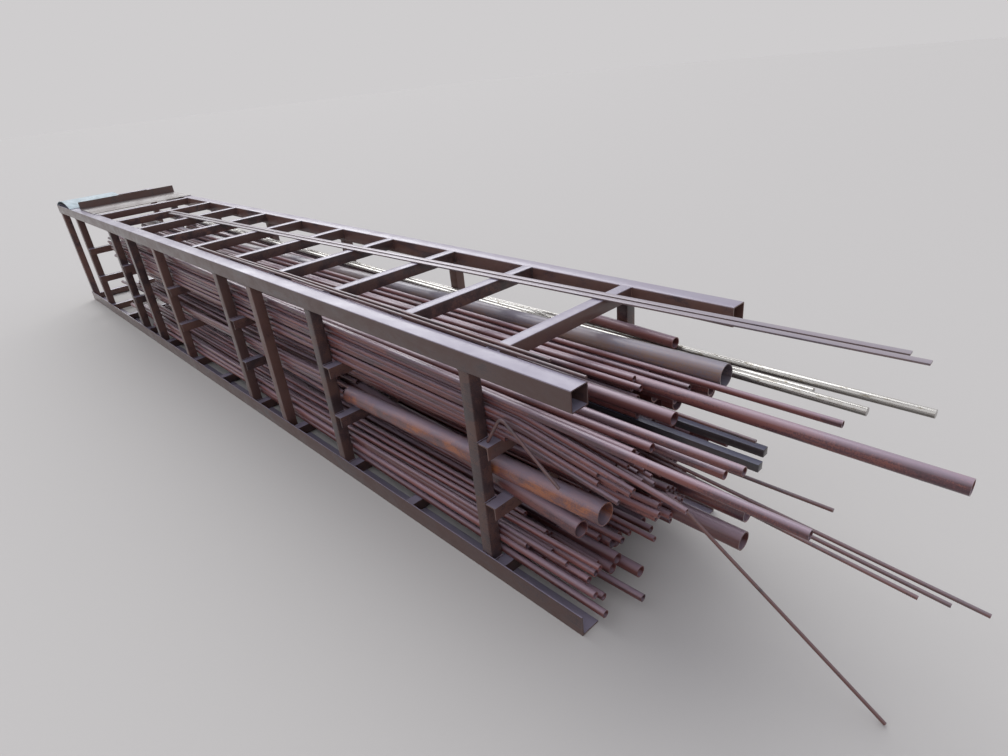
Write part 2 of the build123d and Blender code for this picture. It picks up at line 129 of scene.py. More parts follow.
@dataclass(frozen=True)
class RustedSteel:
    """Mild steel that has rusted outdoors, under a thin film of rain.

    The rust is a matt brown crust over what is left of the blue-grey scale from the
    mill. The film of water is a coat of its own over a rough base. The pale sheen on what
    faces the sky is painted into the base colour: a painted reflection of the sky.
    """

    name: str
    dark: str
    body: str
    warm: str
    orange: str
    scale: str = "4c4a50"
    scale_share: float = 0.5
    orange_share: float = 0.42
    tone_spread: float = 0.25
    shade_spread: float = 0.55
    patch_mm: float = 60.0
    drawn_out: float = 5.0
    grain_mm: float = 5.0
    grain_share: float = 0.5
    lines_per_metre: float = 260.0
    lines_drawn_out: float = 25.0
    line_share: float = 0.3
    # Painted reflection of the sky: a pale colour mixed into the base colour on what faces up, and its
    # share.
    painted_sky_sheen: str = "8f8a9b"
    painted_sky_sheen_share: float = 0.3
    metallic: float = 0.1
    roughness: float = 0.52
    coat: float = 0.75
    coat_roughness: float = 0.14
    bump_mm: float = 0.8

    def build(self) -> bpy.types.Material:
        """Builds the material from its nodes.

        Returns:
            The finish, ready to be put on a mesh that has a tone for each of its pieces.
        """
        material = bpy.data.materials.new(self.name)
        material.use_nodes = True
        tree = material.node_tree
        tree.nodes.clear()
        tone = add_node(tree, "ShaderNodeAttribute", attribute_name="tone").outputs["Fac"]
        place = self.place_of_piece(tree, tone)
        # Crust that came off in patches, about as long as a hand on the large pipes. The patches
        # are drawn out along X, which is the way that the stock lies.
        drawn_out = (1.0 / self.drawn_out, 1.0, 1.0)
        along = add_node(tree, "ShaderNodeMapping", {"Vector": place, "Scale": drawn_out}).outputs["Vector"]
        patches = add_node(
            tree,
            "ShaderNodeTexNoise",
            {
                "Vector": along,
                "Scale": 1000.0 / self.patch_mm,
                "Detail": 5.0,
                "Roughness": 0.62,
                "Distortion": 0.35,
            },
        ).outputs["Fac"]
        # Grains of rust, drawn a few times their real size so that they show.
        grain = add_node(
            tree,
            "ShaderNodeTexNoise",
            {"Vector": place, "Scale": 1000.0 / self.grain_mm, "Detail": 3.0, "Roughness": 0.7},
        ).outputs["Fac"]
        # Fine lines that the mill's rolls left along the stock, drawn coarser than they are.
        drawn_out = (1.0 / self.lines_drawn_out, 1.0, 1.0)
        along = add_node(tree, "ShaderNodeMapping", {"Vector": place, "Scale": drawn_out}).outputs["Vector"]
        lines = add_node(
            tree,
            "ShaderNodeTexNoise",
            {"Vector": along, "Scale": self.lines_per_metre, "Detail": 2.0},
        ).outputs["Fac"]
        level = self.sum_of(
            tree,
            [(patches, 1.0), (grain, self.grain_share), (lines, self.line_share), (tone, self.tone_spread)],
        )
        # The colours follow the crust from its thinnest places to its thickest, round the middle level.
        middle = (1.0 + self.grain_share + self.line_share + self.tone_spread) / 2
        ramp = add_node(tree, "ShaderNodeValToRGB", {"Fac": level})
        stops = ramp.color_ramp.elements
        stops[0].position, stops[0].color = middle - 0.26, linear(self.dark)
        stops[1].position, stops[1].color = middle + 0.32, linear(self.orange)
        for position, colour in ((middle - 0.06, self.body), (middle + self.orange_share * 0.3, self.warm)):
            stop = stops.new(position)
            stop.color = linear(colour)
        # Over the crust come the mill scale that is left, each piece's own darker tone and a painted sky
        # reflection on top.
        colour = ramp.outputs["Color"]
        for share, second in (
            (self.scale_left(tree, tone, patches), self.scale),
            (self.own_number(tree, tone, 13.0, self.shade_spread), self.dark),
            (self.painted_sky_sheen_mask(tree), self.painted_sky_sheen),
        ):
            colour = add_node(
                tree, "ShaderNodeMix", {0: share, 6: colour, 7: linear(second)}, data_type="RGBA"
            ).outputs[2]
        height = self.sum_of(tree, [(patches, 0.6), (grain, 0.4), (lines, 0.15)])
        bump = add_node(
            tree,
            "ShaderNodeBump",
            {"Height": height, "Strength": 0.6, "Distance": self.bump_mm / 1000.0},
        ).outputs["Normal"]
        # Thick crust is rougher than thin crust.
        rough = add_node(
            tree,
            "ShaderNodeMapRange",
            {
                "Value": patches,
                "From Min": 0.35,
                "From Max": 0.68,
                "To Min": self.roughness - 0.16,
                "To Max": self.roughness + 0.2,
            },
        ).outputs["Result"]
        shader = add_node(
            tree,
            "ShaderNodeBsdfPrincipled",
            {
                "Base Color": colour,
                "Metallic": self.metallic,
                "Roughness": rough,
                "Coat Weight": self.coat,
                "Coat Roughness": self.coat_roughness,
                "Coat IOR": 1.33,
                "Normal": bump,
                "Coat Normal": bump,
            },
        )
        add_node(tree, "ShaderNodeOutputMaterial", {"Surface": shader.outputs["BSDF"]})
        return material

    def place_of_piece(self, tree: NodeTree, tone: Socket) -> Socket:
        """The place in the object, moved for each piece, so that neighbours don't share their patches.

        Args:
            tree: the material's tree.
            tone: each piece's own number.

        Returns:
            The socket with the place in metres.
        """
        place = add_node(tree, "ShaderNodeTexCoord").outputs["Object"]
        # Metres, so that two pieces hardly ever show the same part of a pattern of millimetres.
        move = add_node(
            tree, "ShaderNodeVectorMath", {0: (31.0, 17.0, 23.0), "Scale": tone}, operation="SCALE"
        ).outputs[0]
        return add_node(tree, "ShaderNodeVectorMath", {0: place, 1: move}, operation="ADD").outputs[0]

    def scale_left(self, tree: NodeTree, tone: Socket, patches: Socket) -> Socket:
        """How much mill scale is left at a place.

        Args:
            tree: the material's tree.
            tone: each piece's own number.
            patches: the pattern in which the crust grew.

        Returns:
            The socket with the share, which is high on some pieces only.
        """
        own = self.own_number(tree, tone, 7.0, 1.0)
        bare = add_node(
            tree,
            "ShaderNodeMapRange",
            {
                "Value": patches,
                "From Min": 0.40,
                "From Max": 0.58,
                "To Min": self.scale_share,
                "To Max": 0.0,
            },
        ).outputs["Result"]
        return add_node(tree, "ShaderNodeMath", {0: own, 1: bare}, operation="MULTIPLY").outputs[0]

    @staticmethod
    def own_number(tree: NodeTree, tone: Socket, times: float, most: float) -> Socket:
        """Another number of each piece's own.

        Args:
            tree: the material's tree.
            tone: each piece's first number.
            times: how far its digits are moved, which sets what the new number is.
            most: the number's upper end.

        Returns:
            The socket with the number, from 0 to the upper end.
        """
        many = add_node(tree, "ShaderNodeMath", {0: tone, 1: times}, operation="MULTIPLY").outputs[0]
        own = add_node(tree, "ShaderNodeMath", {0: many}, operation="FRACT").outputs[0]
        return add_node(tree, "ShaderNodeMath", {0: own, 1: most}, operation="MULTIPLY").outputs[0]

    def painted_sky_sheen_mask(self, tree: NodeTree) -> Socket:
        """The share of painted sky reflection at a place, more the more it faces up.

        Args:
            tree: the material's tree.

        Returns:
            The socket with the share, from 0 at the sides to the full share of painted reflection on top.
        """
        normal = add_node(tree, "ShaderNodeNewGeometry").outputs["Normal"]
        up = add_node(tree, "ShaderNodeSeparateXYZ", {0: normal}).outputs["Z"]
        return add_node(
            tree,
            "ShaderNodeMapRange",
            {"Value": up, "From Min": 0.45, "From Max": 0.99, "To Min": 0.0, "To Max": self.painted_sky_sheen_share},
        ).outputs["Result"]

    @staticmethod
    def sum_of(tree: NodeTree, shares: list) -> Socket:
        """Adds up patterns, each times its share.

        Args:
            tree: the material's tree.
            shares: pairs of a pattern's socket and its share.

        Returns:
            The socket with the sum.
        """
        total = None
        for pattern, share in shares:
            total = add_node(
                tree,
                "ShaderNodeMath",
                {0: pattern, 1: share, 2: 0.0 if total is None else total},
                operation="MULTIPLY_ADD",
            ).outputs[0]
        return total


@dataclass(frozen=True)
class BrightSteel:
    """Cold-drawn steel bar: bright metal, dull in places, with the first specks of rust."""

    name: str = "cold_drawn_steel_first_rust"
    metal: str = "d3d2cf"
    dull: str = "99917f"
    rust: str = "80644f"
    painted_underside_shade: str = "5d564e"
    speck_mm: float = 9.0
    roughness: float = 0.27
    bump_mm: float = 0.2

    def build(self) -> bpy.types.Material:
        """Builds the material from its nodes.

        Returns:
            The finish.
        """
        material = bpy.data.materials.new(self.name)
        material.use_nodes = True
        tree = material.node_tree
        tree.nodes.clear()
        place = add_node(tree, "ShaderNodeTexCoord").outputs["Object"]
        drawn_out = (0.3, 1.0, 1.0)
        along = add_node(tree, "ShaderNodeMapping", {"Vector": place, "Scale": drawn_out}).outputs["Vector"]
        # Specks of rust where drops stood and ran along the bar, each as wide as a finger nail.
        specks = add_node(
            tree,
            "ShaderNodeTexNoise",
            {"Vector": along, "Scale": 1000.0 / self.speck_mm, "Detail": 6.0, "Roughness": 0.7},
        ).outputs["Fac"]
        ramp = add_node(tree, "ShaderNodeValToRGB", {"Fac": specks})
        stops = ramp.color_ramp.elements
        stops[0].position, stops[0].color = 0.54, linear(self.metal)
        stops[1].position, stops[1].color = 0.82, linear(self.rust)
        stop = stops.new(0.66)
        stop.color = linear(self.dull)
        # Painted shade: the bar's colour darkens towards its underside, where less light falls.
        normal = add_node(tree, "ShaderNodeNewGeometry").outputs["Normal"]
        up = add_node(tree, "ShaderNodeSeparateXYZ", {0: normal}).outputs["Z"]
        painted_shade_share = add_node(
            tree,
            "ShaderNodeMapRange",
            {"Value": up, "From Min": -0.4, "From Max": 0.7, "To Min": 0.85, "To Max": 0.0},
        ).outputs["Result"]
        colour = add_node(
            tree,
            "ShaderNodeMix",
            {0: painted_shade_share, 6: ramp.outputs["Color"], 7: linear(self.painted_underside_shade)},
            data_type="RGBA",
        ).outputs[2]
        bump = add_node(
            tree,
            "ShaderNodeBump",
            {"Height": specks, "Strength": 0.12, "Distance": self.bump_mm / 1000.0},
        ).outputs["Normal"]
        # A speck of rust isn't metal.
        metallic = add_node(
            tree,
            "ShaderNodeMapRange",
            {"Value": specks, "From Min": 0.55, "From Max": 0.75, "To Min": 0.9, "To Max": 0.2},
        ).outputs["Result"]
        shader = add_node(
            tree,
            "ShaderNodeBsdfPrincipled",
            {"Base Color": colour, "Metallic": metallic, "Roughness": self.roughness, "Normal": bump},
        )
        add_node(tree, "ShaderNodeOutputMaterial", {"Surface": shader.outputs["BSDF"]})
        return material


@dataclass(frozen=True)
class PlainPale:
    """Matt studio floor in one pale colour, which isn't part of the object."""

    name: str = "studio_floor_matt"
    colour: str = "c2c0bc"
    roughness: float = 0.95

    def build(self) -> bpy.types.Material:
        """Builds the material from its nodes.

        Returns:
            The finish.
        """
        material = bpy.data.materials.new(self.name)
        material.use_nodes = True
        tree = material.node_tree
        tree.nodes.clear()
        shader = add_node(
            tree,
            "ShaderNodeBsdfPrincipled",
            {"Base Color": linear(self.colour), "Roughness": self.roughness},
        )
        add_node(tree, "ShaderNodeOutputMaterial", {"Surface": shader.outputs["BSDF"]})
        return material


@dataclass
class Finishes:
    """The finishes of the whole object, each built once."""

    # The sheen colour of each finish below is a painted reflection of the sky on what faces up.
    # Hot-rolled tube and angle iron: even brown rust, and a painted reflection of the sky's grey on its
    # tops.
    rack: RustedSteel = RustedSteel(
        "hot_rolled_steel_brown_rust_wet",
        dark="302324",
        body="533b3a",
        warm="65473f",
        orange="7a5240",
        scale="4f464b",
        scale_share=0.3,
        orange_share=0.7,
        patch_mm=90.0,
        drawn_out=2.2,
        painted_sky_sheen="a09cb2",
        painted_sky_sheen_share=0.7,
    )
    # Black pipe: red-brown rust drawn out along it, with blue-grey scale on some pieces.
    pipe: RustedSteel = RustedSteel(
        "black_pipe_red_rust_wet",
        dark="331b1e",
        body="66393c",
        warm="7d4843",
        orange="965a42",
        scale="64505c",
        scale_share=0.4,
        orange_share=0.75,
        patch_mm=55.0,
        painted_sky_sheen="b7a6b6",
        painted_sky_sheen_share=0.6,
    )
    # The thick pipe on top: dull grey scale from the mill, with a few large patches of rust.
    great: RustedSteel = RustedSteel(
        "black_pipe_mill_scale_rust_patches",
        dark="493d3d",
        body="6c6168",
        warm="77645f",
        orange="80614f",
        orange_share=0.6,
        scale_share=0.3,
        tone_spread=0.0,
        shade_spread=0.0,
        patch_mm=170.0,
        drawn_out=2.5,
        painted_sky_sheen="a9a8b8",
        painted_sky_sheen_share=0.5,
    )
    # The thick pipe on the near side: grey scale that has broken up into orange patches.
    near_great: RustedSteel = RustedSteel(
        "black_pipe_mill_scale_orange_rust",
        dark="452d31",
        body="70494a",
        warm="845141",
        orange="9a5f40",
        orange_share=0.1,
        scale_share=0.3,
        tone_spread=0.0,
        shade_spread=0.0,
        patch_mm=70.0,
        drawn_out=1.8,
        painted_sky_sheen="b7abbd",
        painted_sky_sheen_share=0.7,
    )
    # Drawn rod: darker and plainer than the pipes, because its rust is thin and even.
    rod: RustedSteel = RustedSteel(
        "drawn_rod_dark_rust",
        dark="2f1f21",
        body="593b3a",
        warm="6c4641",
        orange="7f5142",
        orange_share=0.7,
        patch_mm=35.0,
        painted_sky_sheen="a096a2",
        painted_sky_sheen_share=0.4,
    )
    # Flat bar: thin rust over grey steel, so that it looks paler than the pipes.
    flat: RustedSteel = RustedSteel(
        "flat_bar_thin_rust_wet",
        dark="51434a",
        body="70676c",
        warm="7a6966",
        orange="86695c",
        orange_share=0.7,
        patch_mm=60.0,
        painted_sky_sheen="b3acb8",
        painted_sky_sheen_share=0.6,
    )
    # Square bar: oily black scale, which hardly rusts and shines a little, with a painted sky reflection on
    # top.
    square: RustedSteel = RustedSteel(
        "square_bar_oiled_scale",
        dark="161519",
        body="28262b",
        warm="36292c",
        orange="49312f",
        orange_share=0.8,
        patch_mm=70.0,
        painted_sky_sheen="6d7084",
        painted_sky_sheen_share=0.7,
    )
    # Plate: dull brown rust under dried silt, with hardly any gloss.
    plate: RustedSteel = RustedSteel(
        "plate_brown_rust_wet_silt",
        dark="2b201f",
        body="4b3431",
        warm="60443c",
        orange="745343",
        orange_share=0.6,
        patch_mm=160.0,
        drawn_out=1.2,
        painted_sky_sheen="7d7f81",
        painted_sky_sheen_share=0.4,
        coat=0.4,
        coat_roughness=0.3,
    )
    # Zinc-coated sheet: pale blue-grey and dull, with rust where the zinc has gone.
    sheet: RustedSteel = RustedSteel(
        "zinc_coated_sheet_weathered",
        dark="6f7f89",
        body="8da0aa",
        warm="98a5a8",
        orange="8c7a6d",
        scale="8496a4",
        orange_share=0.95,
        patch_mm=45.0,
        drawn_out=1.0,
        painted_sky_sheen="9fb2bc",
        painted_sky_sheen_share=0.4,
        metallic=0.3,
        roughness=0.6,
        coat=0.25,
        coat_roughness=0.3,
    )
    # Cold-drawn bar: the only bright metal in the heap, with painted shade underneath.
    bright: BrightSteel = BrightSteel()
    built: dict = field(default_factory=dict)

    def material(self, name: str) -> bpy.types.Material:
        """The material of one finish, built the first time that it is asked for.

        Args:
            name: the finish's name here.

        Returns:
            The finish's material.
        """
        if name not in self.built:
            self.built[name] = getattr(self, name).build()
        return self.built[name]


def merged(node: bpy.types.Object) -> tuple[np.ndarray, np.ndarray]:
    """Reads a solid's mesh with its doubles merged.

    Args:
        node: the solid's object, which stays as it is.

    Returns:
        The corners, and the triangles as numbers of corners.
    """
    mesh = node.data
    corners = np.empty(len(mesh.vertices) * 3)
    mesh.vertices.foreach_get("co", corners)
    corners = corners.reshape(-1, 3)
    mesh.calc_loop_triangles()
    triangles = np.empty(len(mesh.loop_triangles) * 3, dtype=np.int64)
    mesh.loop_triangles.foreach_get("vertices", triangles)
    unique, place = np.unique(np.round(corners, MERGED_DIGITS), axis=0, return_inverse=True)
    return unique, place.reshape(-1)[triangles].reshape(-1, 3)


def loose_pieces(corners: np.ndarray, triangles: np.ndarray) -> list[np.ndarray]:
    """Splits a node's corners into its separate solids.

    Args:
        corners: the merged corners.
        triangles: the triangles between them.

    Returns:
        The corners of each solid.
    """
    group = np.arange(len(corners))
    while True:
        lowest = group[triangles].min(axis=1)
        before = group.copy()
        for side in range(3):
            np.minimum.at(group, triangles[:, side], lowest)
        group = group[group]
        if np.array_equal(before, group):
            break
    return [corners[group == g] for g in np.unique(group)]


@dataclass
class Run:
    """One pipe or bar: the middle line that it follows and how thick it is."""

    points: list[Vector]
    radius: float

    @classmethod
    def from_corners(cls, corners: np.ndarray) -> "Run":
        """Finds the middle line of a round solid from the rings of its mesh.

        Args:
            corners: the solid's corners.

        Returns:
            The run, from its left end to its right end.
        """
        order = np.argsort(corners[:, 0])
        xs = corners[order, 0]
        breaks = np.nonzero(np.diff(xs) > RING_STEP_M)[0] + 1
        rings = [ring for ring in np.split(corners[order], breaks) if len(ring) >= RING_CORNERS]
        centres = [ring.mean(axis=0) for ring in rings]
        radius = float(np.linalg.norm(rings[0] - centres[0], axis=1).max())
        return cls([Vector(c) for c in centres], radius)


class PipeTree:
    """Geometry Nodes that draw pipes of one size along their middle lines."""

    def __init__(self, name: str, material: bpy.types.Material):
        """Builds the tree.

        Args:
            name: the tree's name.
            material: the finish that the pipes get at the end.
        """
        self.tree = bpy.data.node_groups.new(name, "GeometryNodeTree")
        face = self.tree.interface
        face.new_socket("Geometry", in_out="INPUT", socket_type="NodeSocketGeometry")
        for label, value in (("Outer Radius", 0.01), ("Wall", 0.003), ("Bow", 0.0015)):
            face.new_socket(label, in_out="INPUT", socket_type="NodeSocketFloat").default_value = value
        for label, value in (("Segments", 24), ("Cuts", 6), ("Seed", 7)):
            face.new_socket(label, in_out="INPUT", socket_type="NodeSocketInt").default_value = value
        face.new_socket("Geometry", in_out="OUTPUT", socket_type="NodeSocketGeometry")
        self.draw(material)

    def draw(self, material: bpy.types.Material) -> None:
        """Links the nodes: middle lines, wall outside and inside, and a flat ring at each end.

        Args:
            material: the finish that the pipes get at the end.
        """
        given = add_node(self.tree, "NodeGroupInput").outputs
        index = add_node(self.tree, "GeometryNodeInputIndex").outputs[0]
        tone = add_node(
            self.tree,
            "FunctionNodeRandomValue",
            {2: 0.0, 3: 1.0, "ID": index, "Seed": given["Seed"]},
            data_type="FLOAT",
        ).outputs[1]
        lines = add_node(
            self.tree,
            "GeometryNodeStoreNamedAttribute",
            {"Geometry": given["Geometry"], "Name": "tone", "Value": tone},
            data_type="FLOAT",
            domain="CURVE",
        ).outputs[0]
        lines = add_node(
            self.tree, "GeometryNodeSubdivideCurve", {"Curve": lines, "Cuts": given["Cuts"]}
        ).outputs[0]
        lines = self.bowed(lines, given["Bow"])
        bore = add_node(
            self.tree, "ShaderNodeMath", {0: given["Outer Radius"], 1: given["Wall"]}, operation="SUBTRACT"
        ).outputs[0]
        outer = self.skin(lines, given["Outer Radius"], given["Segments"])
        inner = self.skin(lines, bore, given["Segments"])
        inner = add_node(self.tree, "GeometryNodeFlipFaces", {0: inner}).outputs[0]
        joined = add_node(self.tree, "GeometryNodeJoinGeometry")
        for part in (outer, inner, self.ends(lines, given, bore)):
            self.tree.links.new(part, joined.inputs[0])
        whole = add_node(self.tree, "GeometryNodeRealizeInstances", {0: joined.outputs[0]}).outputs[0]
        whole = add_node(
            self.tree, "GeometryNodeSetShadeSmooth", {"Geometry": whole, "Shade Smooth": True}
        ).outputs[0]
        whole = add_node(
            self.tree, "GeometryNodeSetMaterial", {"Geometry": whole, "Material": material}
        ).outputs[0]
        add_node(self.tree, "NodeGroupOutput", {0: whole})

    def bowed(self, lines: Socket, bow: Socket) -> Socket:
        """Bows the lines a little up and sideways, neighbours alike, so that none runs into the next.

        Args:
            lines: the straight middle lines.
            bow: how far a line bows, in metres.

        Returns:
            The socket with the bowed lines.
        """
        place = add_node(self.tree, "GeometryNodeInputPosition").outputs[0]
        # One bow is about as long as the way between two supports.
        slow = add_node(
            self.tree, "ShaderNodeVectorMath", {0: place, 1: (1.3, 0.9, 0.9)}, operation="MULTIPLY"
        ).outputs[0]
        wave = add_node(
            self.tree, "ShaderNodeTexNoise", {"Vector": slow, "Scale": 1.0, "Detail": 1.0}
        ).outputs["Color"]
        # The noise lies mostly between 0.25 and 0.75, so four times its distance from 0.5 fills the bow.
        centred = add_node(
            self.tree, "ShaderNodeVectorMath", {0: wave, 1: (0.5, 0.5, 0.5)}, operation="SUBTRACT"
        ).outputs[0]
        across = add_node(
            self.tree, "ShaderNodeVectorMath", {0: centred, 1: (0.0, 4.0, 4.0)}, operation="MULTIPLY"
        ).outputs[0]
        move = add_node(
            self.tree, "ShaderNodeVectorMath", {0: across, "Scale": bow}, operation="SCALE"
        ).outputs[0]
        return add_node(
            self.tree, "GeometryNodeSetPosition", {"Geometry": lines, "Offset": move}
        ).outputs[0]

    def skin(self, lines: Socket, radius: Socket, segments: Socket) -> Socket:
        """A round skin along the lines.

        Args:
            lines: the middle lines.
            radius: how far the skin is from them.
            segments: corners round the skin.

        Returns:
            The socket with the skin.
        """
        circle = add_node(
            self.tree, "GeometryNodeCurvePrimitiveCircle", {"Radius": radius, "Resolution": segments}
        ).outputs[0]
        return add_node(
            self.tree, "GeometryNodeCurveToMesh", {"Curve": lines, "Profile Curve": circle}
        ).outputs[0]

    def ends(self, lines: Socket, given: object, bore: Socket) -> Socket:
        """Flat rings that close the wall at both ends of each line.

        Args:
            lines: the middle lines.
            given: the tree's own inputs.
            bore: the radius of the inner wall.

        Returns:
            The socket with the rings.
        """
        outer, wall, segments = given["Outer Radius"], given["Wall"], given["Segments"]
        at_end = add_node(
            self.tree, "GeometryNodeCurveEndpointSelection", {"Start Size": 1, "End Size": 1}
        ).outputs[0]
        tangent = add_node(self.tree, "GeometryNodeInputTangent").outputs[0]
        both = add_node(self.tree, "ShaderNodeMath", {0: outer, 1: bore}, operation="ADD").outputs[0]
        middle = add_node(self.tree, "ShaderNodeMath", {0: both, 1: 0.5}, operation="MULTIPLY").outputs[0]
        ring = add_node(
            self.tree, "GeometryNodeCurvePrimitiveCircle", {"Radius": middle, "Resolution": segments}
        ).outputs[0]
        half = add_node(self.tree, "ShaderNodeMath", {0: wall, 1: 0.5}, operation="MULTIPLY").outputs[0]
        start = add_node(self.tree, "ShaderNodeCombineXYZ", {"X": half}).outputs[0]
        end = add_node(
            self.tree, "ShaderNodeVectorMath", {0: start, "Scale": -1.0}, operation="SCALE"
        ).outputs[0]
        line = add_node(
            self.tree, "GeometryNodeCurvePrimitiveLine", {"Start": start, "End": end}
        ).outputs[0]
        washer = add_node(
            self.tree, "GeometryNodeCurveToMesh", {"Curve": ring, "Profile Curve": line}
        ).outputs[0]
        turn = add_node(
            self.tree, "FunctionNodeAlignRotationToVector", {"Vector": tangent}, axis="Z"
        ).outputs[0]
        return add_node(
            self.tree,
            "GeometryNodeInstanceOnPoints",
            {"Points": lines, "Selection": at_end, "Instance": washer, "Rotation": turn},
        ).outputs[0]


def drawn(name: str, curve: bpy.types.Curve, tree: NodeTree, values: dict) -> bpy.types.Object:
    """Turns middle lines into a plain mesh with a tree of Geometry Nodes.

    Args:
        name: the finished object's name.
        curve: the middle lines.
        tree: the tree that draws along them.
        values: the value of each of the tree's inputs that is set, by its label.

    Returns:
        The finished object, at the origin and without the modifier.
    """
    drawing = bpy.data.objects.new(f"{name}_drawing", curve)
    bpy.context.scene.collection.objects.link(drawing)
    modifier = drawing.modifiers.new("drawing", "NODES")
    modifier.node_group = tree
    for item in tree.interface.items_tree:
        if item.in_out == "INPUT" and item.name in values:
            modifier[item.identifier] = values[item.name]
    evaluated = drawing.evaluated_get(bpy.context.evaluated_depsgraph_get())
    mesh = bpy.data.meshes.new_from_object(evaluated)
    mesh.name = name
    bpy.data.objects.remove(drawing)
    piece = bpy.data.objects.new(name, mesh)
    bpy.context.scene.collection.objects.link(piece)
    return piece


def line_curve(name: str, lines: list) -> bpy.types.Curve:
    """Makes a curve of separate lines.

    Args:
        name: the curve's name.
        lines: the points of each line.

    Returns:
        The curve.
    """
    curve = bpy.data.curves.new(name, "CURVE")
    curve.dimensions = "3D"
    for line in lines:
        spline = curve.splines.new("POLY")
        spline.points.add(len(line) - 1)
        for point, place in zip(spline.points, line):
            point.co = (*place, 1.0)
    return curve


@dataclass
class RoundStock:
    """Pipes or bars of one size in one tier, drawn along the middle lines of their solids.

    A solid bar has no wall. The bow is how far a long piece bows between its supports.
    """

    node: str
    slot: Slot
    finish: str
    wall_m: float
    segments: int
    bow_m: float = 0.0012
    cuts: int = 9
    # A solid bar is drawn with a bore so thin that it doesn't show.
    pinhole_m: float = 0.0002

    def build(self, solid: bpy.types.Object, finishes: Finishes, seed: int) -> bpy.types.Object:
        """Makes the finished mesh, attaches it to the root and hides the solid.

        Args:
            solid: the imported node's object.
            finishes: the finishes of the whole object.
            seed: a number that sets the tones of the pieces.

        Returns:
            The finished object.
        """
        runs = [Run.from_corners(corners) for corners in loose_pieces(*merged(solid))]
        radius = float(np.median([run.radius for run in runs]))
        values = {
            "Outer Radius": radius,
            "Wall": self.wall_m or radius - self.pinhole_m,
            "Bow": self.bow_m,
            "Segments": self.segments,
            "Cuts": self.cuts,
            "Seed": seed,
        }
        tree = PipeTree(f"{self.node}_tree", finishes.material(self.finish)).tree
        lines = line_curve(f"{self.node}_lines", [run.points for run in runs])
        piece = drawn(f"{self.node}_pipes", lines, tree, values)
        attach(piece, "root")
        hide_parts(self.node)
        log.info("%s: %d pieces, %d faces", piece.name, len(runs), len(piece.data.polygons))
        return piece


@dataclass
class Heap:
    """The loose pipes and bars of the three tiers, by the name of their stock.

    A bar has no wall. A finish is given for a whole stock, or for one node of it, and is
    the pipes' own where none is given.
    """

    walls: dict = field(
        default_factory=lambda: {
            "great_pipe": 0.00365,
            "large_pipes": 0.004,
            "middle_pipes": 0.0035,
            "thin_pipes": 0.0028,
            "conduits": 0.0025,
            "narrow_pipes": 0.0023,
            "bright_bars": 0.0,
            "rods": 0.0,
        }
    )
    segments: dict = field(
        default_factory=lambda: {
            "great_pipe": 48,
            "large_pipes": 36,
            "middle_pipes": 28,
            "thin_pipes": 20,
            "conduits": 16,
            "narrow_pipes": 14,
            "bright_bars": 20,
            "rods": 12,
        }
    )
    finishes: dict = field(
        default_factory=lambda: {
            "middle_great_pipe": "near_great",
            "great_pipe": "great",
            "bright_bars": "bright",
            "rods": "rod",
        }
    )

    def build(self, nodes: dict, finishes: Finishes) -> None:
        """Draws every node of round stock.

        Args:
            nodes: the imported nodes' objects by name.
            finishes: the finishes of the whole object.
        """
        for seed, (name, solid) in enumerate(sorted(nodes.items())):
            stock = next((s for s in self.walls if name.endswith("_" + s)), None)
            if stock is None:
                continue
            slot = Slot.BRIGHT if stock == "bright_bars" else Slot.PIPE
            finish = self.finishes.get(name) or self.finishes.get(stock, "pipe")
            dressed = RoundStock(name, slot, finish, self.walls[stock], self.segments[stock])
            dressed.build(solid, finishes, seed)


def rounded(corners: list[Flat], radii: list[float], steps: int = 3) -> list[Flat]:
    """Rounds the corners of an outline.

    Args:
        corners: the outline's corners in order.
        radii: how round each corner is.
        steps: straight bits round each corner.

    Returns:
        The outline's points in the same order.
    """
    points = []
    for i, (corner, radius) in enumerate(zip(corners, radii)):
        here = Vector(corner)
        back = (Vector(corners[i - 1]) - here).normalized()
        on = (Vector(corners[(i + 1) % len(corners)]) - here).normalized()
        for k in range(steps + 1):
            share = k / steps
            points.append(tuple(here + back * radius * (1 - share) ** 2 + on * radius * share**2))
    return points


@dataclass(frozen=True)
class Section:
    """What a rolled section looks like across its length: its outer outline, then its holes."""

    outlines: list[list[Flat]]

    @classmethod
    def tube(cls, width: float, height: float, wall: float) -> "Section":
        """A square tube, with its corners as round as cold bending leaves them.

        Args:
            width: its size across.
            height: its size up.
            wall: how thick its wall is.

        Returns:
            The section.
        """
        outlines = []
        for inset, radius, order in ((0.0, 1.6 * wall, 1), (wall, 0.8 * wall, -1)):
            x, y = width / 2 - inset, height / 2 - inset
            corners = [(-x, -y), (x, -y), (x, y), (-x, y)][::order]
            outlines.append(rounded(corners, [radius] * 4))
        return cls(outlines)

    @classmethod
    def angle(cls, width: float, height: float, thickness: float, heel: tuple[int, int]) -> "Section":
        """An angle iron with a round root and round toes.

        Args:
            width: its size across.
            height: its size up.
            thickness: how thick its legs are.
            heel: the side of the heel, -1 or 1 across and up.

        Returns:
            The section.
        """
        x, y = width / 2, height / 2
        inner_x, inner_y = thickness - x, thickness - y
        corners = [(-x, -y), (x, -y), (x, inner_y), (inner_x, inner_y), (inner_x, y), (-x, y)]
        heel_round, edge, toe, root = (share * thickness for share in (0.25, 0.1, 0.5, 1.1))
        outline = rounded(corners, [heel_round, edge, toe, root, toe, edge])
        turned = [(-heel[0] * u, -heel[1] * v) for u, v in outline]
        return cls([turned if heel[0] == heel[1] else turned[::-1]])


